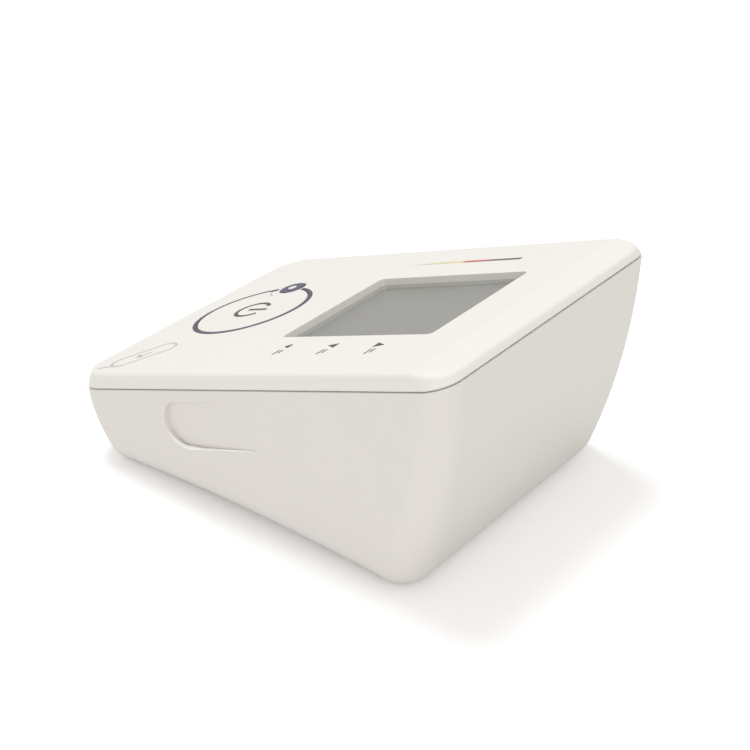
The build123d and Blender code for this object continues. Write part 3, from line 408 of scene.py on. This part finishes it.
def printedPiece(name, shapes, lift, material, body):
    height = lift + inkFilm["height"]
    mesh = bmesh.new()
    for kind, points, closed in shapes:
        if kind == "fill":
            mesh.faces.new([mesh.verts.new(deckPoint(x, v, height)) for x, v in points])
            continue
        rows = [[mesh.verts.new(deckPoint(x, v, height)) for x, v in pair] for pair in points]
        if closed:
            rows.append(rows[0])
        for a, b in zip(rows, rows[1:]):
            mesh.faces.new((a[0], a[1], b[1], b[0]))
    turnFaces(mesh, lambda middle: squareUp)
    addPiece(name, mesh, material, body, inkFilm["thickness"])


darkInk = inkMaterial("darkInk", (0.06, 0.058, 0.056))
paleInk = inkMaterial("paleInk", (0.5, 0.49, 0.465))
whiteInk = inkMaterial("whiteInk", (0.75, 0.74, 0.76))
buttonProud = 0.2

# power mark on the start button: a ring open towards the rear, with a bar in the gap
powerMark = {
    "middle": (0.0, -41.35), "radius": 5.3, "stroke": 1.35, "gap": 34.0,
    "barStart": -1.5, "barEnd": 6.3,
}
markX, markV = powerMark["middle"]
openRing = arcPoints((markX, markV), powerMark["radius"], 90 + powerMark["gap"], 450 - powerMark["gap"], 49)
markBar = [(markX, markV + powerMark["barStart"]), (markX, markV + powerMark["barEnd"])]
printedPiece(
    "powerMark",
    [stroke(openRing, powerMark["stroke"]), stroke(markBar, powerMark["stroke"])],
    buttonProud, darkInk, "start_button",
)

# memory mark: a small pale disc
memoryMark = {"middle": (-18.9, -41.35), "radius": 1.45, "corners": 16}
lastCorner = 360 - 360 / memoryMark["corners"]
discOutline = arcPoints(memoryMark["middle"], memoryMark["radius"], 0, lastCorner, memoryMark["corners"])
printedPiece(
    "memoryMark", [fill(discOutline)],
    buttonProud, whiteInk, "memory_button",
)

# colour scale beside the window, from pale green at the front to dark at the rear
gradeBar = {
    "x": -34.9, "width": 1.5, "start": -3.65, "end": 37.45, "taper": 12.0, "roughness": 0.4,
    "stops": [
        (0.0, (0.42, 0.44, 0.33)),
        (0.22, (0.62, 0.6, 0.34)),
        (0.46, (0.75, 0.66, 0.3)),
        (0.5, (0.55, 0.12, 0.08)),
        (0.69, (0.5, 0.1, 0.08)),
        (0.73, (0.16, 0.14, 0.13)),
        (1.0, (0.12, 0.11, 0.11)),
    ],
}


def gradeInk():
    material, tree, shader = newMaterial("gradeInk")
    place = tree.nodes.new("ShaderNodeTexCoord")
    split = tree.nodes.new("ShaderNodeSeparateXYZ")
    ramp = tree.nodes.new("ShaderNodeValToRGB")
    scale = ramp.color_ramp.elements
    scale.remove(scale[1])
    first, *others = gradeBar["stops"]
    scale[0].position = first[0]
    scale[0].color = (*first[1], 1)
    for position, color in others:
        scale.new(position).color = (*color, 1)
    tree.links.new(place.outputs["Generated"], split.inputs[0])
    tree.links.new(split.outputs["Y"], ramp.inputs[0])
    tree.links.new(ramp.outputs[0], shader.inputs["Base Color"])
    shader.inputs["Roughness"].default_value = gradeBar["roughness"]
    return material


nearSide = gradeBar["x"] + gradeBar["width"] / 2
farSide = gradeBar["x"] - gradeBar["width"] / 2
barOutline = [
    (nearSide, gradeBar["start"]),
    (nearSide, gradeBar["end"]),
    (farSide, gradeBar["end"]),
    (farSide, gradeBar["start"] + gradeBar["taper"]),
]
printedPiece("gradeBar", [fill(barOutline)], 0.0, gradeInk(), "housing")

# beside the window: a rising mark, a falling mark and a heart, each with two short bars
markRow = {
    "x": 29.9, "size": 3.2, "heartSize": 2.56,
    "barStart": 32.6, "barEnd": 36.0, "upperShorter": 1.0, "barWidth": 0.55, "barGap": 1.3,
}
markPlaces = {"risingMark": 35.95, "fallingMark": 18.65, "heartMark": 1.85}


def triangle(v, tip):
    half = markRow["size"] / 2
    x = markRow["x"]
    return [(x - half * tip, v - half * tip), (x + half * tip, v - half * tip), (x, v + half * tip)]


def heart(v, corners=28):
    # the usual heart curve, 32 units wide
    scale = markRow["heartSize"] / 32
    points = []
    for i in range(corners):
        turn = 2 * math.pi * i / corners
        across = 16 * math.sin(turn) ** 3
        along = 13 * math.cos(turn) - 5 * math.cos(2 * turn) - 2 * math.cos(3 * turn) - math.cos(4 * turn)
        points.append((markRow["x"] - across * scale, v + (along + 2) * scale))
    return points


for name, v in markPlaces.items():
    if name == "heartMark":
        shapes = [fill(heart(v))]
    else:
        shapes = [fill(triangle(v, 1 if name == "risingMark" else -1))]
    for side, barEnd in ((-1, markRow["barEnd"]), (1, markRow["barEnd"] - markRow["upperShorter"])):
        barV = v + side * markRow["barGap"] / 2
        shapes.append(stroke([(markRow["barStart"], barV), (barEnd, barV)], markRow["barWidth"]))
    printedPiece(name, shapes, 0.0, darkInk, "housing")

# line drawing in the front right corner: a cuff as a long loop, with its strap and hose
cuffDrawing = {
    "start": (29.6, -50.6), "end": (40.2, -58.0), "radius": 3.6, "stroke": 0.85,
    "strap": 2.6, "tab": 1.43, "hoseReach": (2.6, -3.4), "hoseWave": 0.7, "hosePoints": 15,
}
loopStart = Vector(cuffDrawing["start"])
loopEnd = Vector(cuffDrawing["end"])
along = (loopEnd - loopStart).normalized()
across = Vector((-along.y, along.x))
loopTurn = math.degrees(math.atan2(along.y, along.x))
loop = arcPoints(loopEnd, cuffDrawing["radius"], loopTurn - 90, loopTurn + 90, 15)
loop += arcPoints(loopStart, cuffDrawing["radius"], loopTurn + 90, loopTurn + 270, 15)
hose = []
for i in range(cuffDrawing["hosePoints"]):
    share = i / (cuffDrawing["hosePoints"] - 1)
    wave = Vector((0, cuffDrawing["hoseWave"] * math.sin(2 * math.pi * share)))
    hose.append(loopEnd + along * cuffDrawing["radius"] + Vector(cuffDrawing["hoseReach"]) * share + wave)
strapMiddle = (loopStart + loopEnd) / 2
strap = along * cuffDrawing["strap"]
tab = across * cuffDrawing["tab"]
tabMiddle = strapMiddle + strap / 2
printedPiece(
    "cuffDrawing",
    [
        stroke(loop, cuffDrawing["stroke"], closed=True),
        stroke(hose, cuffDrawing["stroke"]),
        stroke([strapMiddle - strap, strapMiddle + strap], cuffDrawing["stroke"]),
        stroke([tabMiddle - tab, tabMiddle + tab], cuffDrawing["stroke"]),
    ],
    0.0, paleInk, "housing",
)
print("prints done")

# painted edge of the lens: carries the opening's walls on down to the display
lensEdge = {
    "width": 46.1, "length": 55.1, "corner": 1.6, "middle": 20.5,
    "top": -2.0, "bottom": -3.29, "wall": 0.2,
    "color": (0.6, 0.595, 0.57), "roughness": 0.5, "grainSize": 0.2, "grainDepth": 0.005,
}


def buildLensEdge():
    acrossHalf = lensEdge["width"] / 2 - lensEdge["corner"]
    alongHalf = lensEdge["length"] / 2 - lensEdge["corner"]
    outline = []
    for turn, (sideX, sideV) in enumerate([(1, 1), (-1, 1), (-1, -1), (1, -1)]):
        corner = (sideX * acrossHalf, lensEdge["middle"] + sideV * alongHalf)
        outline += arcPoints(corner, lensEdge["corner"], 90 * turn, 90 * turn + 90, 9)
    mesh = bmesh.new()
    top = [mesh.verts.new(deckPoint(x, v, lensEdge["top"])) for x, v in outline]
    bottom = [mesh.verts.new(deckPoint(x, v, lensEdge["bottom"])) for x, v in outline]
    for i in range(len(outline)):
        after = (i + 1) % len(outline)
        mesh.faces.new((top[i], top[after], bottom[after], bottom[i]))
    lensMiddle = deckPoint(0, lensEdge["middle"], lensEdge["top"])
    turnFaces(mesh, lambda middle: lensMiddle - middle)
    paint = plastic("lensEdgePaint", lensEdge)
    addPiece("lensEdge", mesh, paint, "housing", lensEdge["wall"])


buildLensEdge()
print("lens edge done")

# level web between the memory button's collar and the notch of the start button
webInlay = {
    "middle": memoryMark["middle"], "inner": 5.42, "outer": 7.02,
    "halfTurn": 70.0, "steps": 41, "depth": 1.17,
}


def buildWebInlay():
    arc = (-webInlay["halfTurn"], webInlay["halfTurn"], webInlay["steps"])
    near = arcPoints(webInlay["middle"], webInlay["inner"], *arc)
    far = arcPoints(webInlay["middle"], webInlay["outer"], *arc)
    mesh = bmesh.new()
    rows = [[mesh.verts.new(deckPoint(x, v)) for x, v in pair] for pair in zip(near, far)]
    for a, b in zip(rows, rows[1:]):
        mesh.faces.new((a[0], a[1], b[1], b[0]))
    turnFaces(mesh, lambda middle: squareUp)
    addPiece("webInlay", mesh, materials["cover_plastic"], "housing", webInlay["depth"])


buildWebInlay()
print("web inlay done")

# glossy lip over the lower rim of the thumb scoop, paler than the case as a painted highlight, placed along
# the seam and down from it
scoopLip = {
    "front": -35.4, "top": 3.4, "bottom": 18.2, "rear": -1.0, "turnStart": 188,
    "radius": 0.72, "thinRadius": 0.24, "startShare": 0.05, "runFade": 4, "fadePower": 0.7,
    "tipFade": 6, "tipShare": 0.1, "proud": 0.1, "sunkShare": 0.6, "outside": 0.25, "overEdge": 0.3,
    "arcSteps": 24, "runSteps": 24, "sides": 8, "lookFrom": 60,
    # pale colour: painted highlight along the scoop's lower rim; the coat and low roughness are real gloss
    "color": (0.96, 0.94, 0.905), "roughness": 0.3, "grainSize": 0.2, "grainDepth": 0.004,
    "mottle": 0.01, "coat": 0.4,
}


def scoopRim():
    # points just outside the rim, each with the way into the scoop and the lip's radius there
    cutRadius = (scoopLip["bottom"] - scoopLip["top"]) / 2
    middle = Vector((scoopLip["front"] + cutRadius, -(scoopLip["bottom"] + scoopLip["top"]) / 2))
    outer = cutRadius + scoopLip["outside"]
    rim = []
    for i, point in enumerate(arcPoints(middle, outer, scoopLip["turnStart"], 270, scoopLip["arcSteps"])):
        swell = math.sin(math.pi / 2 * i / (scoopLip["arcSteps"] - 1))
        inward = (middle - Vector(point)).normalized()
        rim.append((Vector(point), inward, scoopLip["radius"] * max(swell, scoopLip["startShare"])))
    run = scoopLip["rear"] - middle.x
    for i in range(scoopLip["runSteps"]):
        share = (i + 1) / scoopLip["runSteps"]
        fade = max(1 - scoopLip["runFade"] * share, 0) ** scoopLip["fadePower"]
        tip = min(1, scoopLip["tipFade"] * (1 - share) + scoopLip["tipShare"])
        radius = max(scoopLip["radius"] * fade, scoopLip["thinRadius"] * tip)
        rim.append((Vector((middle.x + run * share, middle.y - outer)), Vector((0, 1)), radius))
    return rim


def scoopSpine():
    # the rim's points laid on the wall of the case, with the wall's normal and the lip's radius
    wall = nodes["bottom_case"]
    tree = BVHTree.FromPolygons(
        [wall.matrix_world @ vertex.co for vertex in wall.data.vertices],
        [face.vertices for face in wall.data.polygons],
    )
    spine = []
    for point, inward, radius in scoopRim():
        seam = Vector((scoopLip["lookFrom"], 0, deck["seamHeight"]))
        start = (seam + upSlope * point.x + squareUp * point.y) * mm
        hit, normal, face, distance = tree.ray_cast(start, Vector((-1, 0, 0)))
        over = (upSlope * inward.x + squareUp * inward.y) * scoopLip["overEdge"]
        stand = normal * (scoopLip["proud"] - scoopLip["sunkShare"] * radius)
        spine.append((hit + (over + stand) * mm, normal, radius * mm))
    return spine


def buildScoopLip():
    spine = scoopSpine()
    sides = scoopLip["sides"]
    mesh = bmesh.new()
    rings = []
    for i, (middle, normal, radius) in enumerate(spine):
        before = spine[max(i - 1, 0)][0]
        after = spine[min(i + 1, len(spine) - 1)][0]
        heading = (after - before).normalized()
        out = (normal - heading * normal.dot(heading)).normalized()
        side = heading.cross(out)
        ring = []
        for k in range(sides):
            turn = 2 * math.pi * k / sides
            ring.append(mesh.verts.new(middle + (out * math.cos(turn) + side * math.sin(turn)) * radius))
        rings.append(ring)
    for a, b in zip(rings, rings[1:]):
        for k in range(sides):
            after = (k + 1) % sides
            mesh.faces.new((a[k], b[k], b[after], a[after]))
    mesh.faces.new(rings[0])
    mesh.faces.new(rings[-1])
    bmesh.ops.recalc_face_normals(mesh, faces=mesh.faces)
    for face in mesh.faces:
        face.smooth = True
    # the lip's pale colour is a painted highlight
    addPiece("scoopLip", mesh, plastic("scoopLipPaintedHighlight", scoopLip), "housing")


buildScoopLip()
print("scoop lip done")

# pale paper floor, just under the feet; from below it is clear, so the underside shows
floorFinish = {
    "size": 3.0, "level": -0.0001, "lift": 0.2,
    "color": (0.9, 0.9, 0.9), "roughness": 0.7, "grainSize": 2.0, "grainDepth": 0.01,
    "mottle": 0.005, "gloss": 0.1,
}


def paperFloor():
    material = plastic("floorPaper", floorFinish)
    tree = material.node_tree
    shader = tree.nodes["Principled BSDF"]
    ray = tree.nodes.new("ShaderNodeLightPath")
    face = tree.nodes.new("ShaderNodeNewGeometry")
    lift = mathNode(tree, "MULTIPLY", ray.outputs["Is Camera Ray"], floorFinish["lift"])
    shown = mathNode(tree, "SUBTRACT", 1.0, face.outputs["Backfacing"])
    shader.inputs["Emission Color"].default_value = (1, 1, 1, 1)
    tree.links.new(lift, shader.inputs["Emission Strength"])
    tree.links.new(shown, shader.inputs["Alpha"])
    return material


reach = floorFinish["size"]
corners = [(-reach, -reach), (reach, -reach), (reach, reach), (-reach, reach)]
floorData = bpy.data.meshes.new("floor")
floorData.from_pydata([(x, y, floorFinish["level"]) for x, y in corners], [], [(0, 1, 2, 3)])
floorData.materials.append(paperFloor())
floor = bpy.data.objects.new("floor", floorData)
bpy.context.scene.collection.objects.link(floor)
print("floor done")

# even studio light, a large lamp overhead and a weak one behind the camera
studio = {"color": (1.0, 0.99, 0.975, 1), "strength": 0.66}
world = bpy.data.worlds.new("studio")
world.use_nodes = True
world.node_tree.nodes["Background"].inputs["Color"].default_value = studio["color"]
world.node_tree.nodes["Background"].inputs["Strength"].default_value = studio["strength"]
bpy.context.scene.world = world

lamps = {
    "topLight": {"place": (-0.1, -0.3, 1.18), "size": 0.4, "power": 6.3},
    "rearLight": {"place": (0.6, 0.55, 0.6), "size": 0.5, "power": 1.7},
}
lampTarget = Vector((0, 0, 0.03))
for name, settings in lamps.items():
    lamp = bpy.data.lights.new(name, "AREA")
    lamp.shape = "SQUARE"
    lamp.size = settings["size"]
    lamp.energy = settings["power"]
    holder = bpy.data.objects.new(name, lamp)
    holder.location = settings["place"]
    holder.rotation_euler = (lampTarget - holder.location).to_track_quat("-Z", "Y").to_euler()
    bpy.context.scene.collection.objects.link(holder)
print("lights:", len(lamps))

# camera at the photograph's place (millimetres, degrees)
cameraSetup = {
    "place": (314.47, 253.68, 263.24), "azimuth": 128.092, "elevation": 30.231, "roll": -0.132,
    "lens": 75.79, "sensor": 36,
}
azimuth = math.radians(cameraSetup["azimuth"])
elevation = math.radians(cameraSetup["elevation"])
roll = math.radians(cameraSetup["roll"])
level = Vector((math.sin(azimuth), -math.cos(azimuth), 0))
back = level * math.cos(elevation) + Vector((0, 0, math.sin(elevation)))
levelRight = Vector((0, 0, 1)).cross(back).normalized()
levelUp = back.cross(levelRight)
right = levelRight * math.cos(roll) + levelUp * math.sin(roll)
up = levelUp * math.cos(roll) - levelRight * math.sin(roll)
cameraData = bpy.data.cameras.new("camera")
cameraData.lens = cameraSetup["lens"]
cameraData.sensor_width = cameraSetup["sensor"]
cameraData.clip_start = 0.01
camera = bpy.data.objects.new("camera", cameraData)
turned = Matrix((right, up, back)).transposed().to_4x4()
camera.matrix_world = Matrix.Translation(Vector(cameraSetup["place"]) * mm) @ turned
bpy.context.scene.collection.objects.link(camera)
bpy.context.scene.camera = camera
bpy.context.scene.view_settings.view_transform = "Standard"
print("camera set")
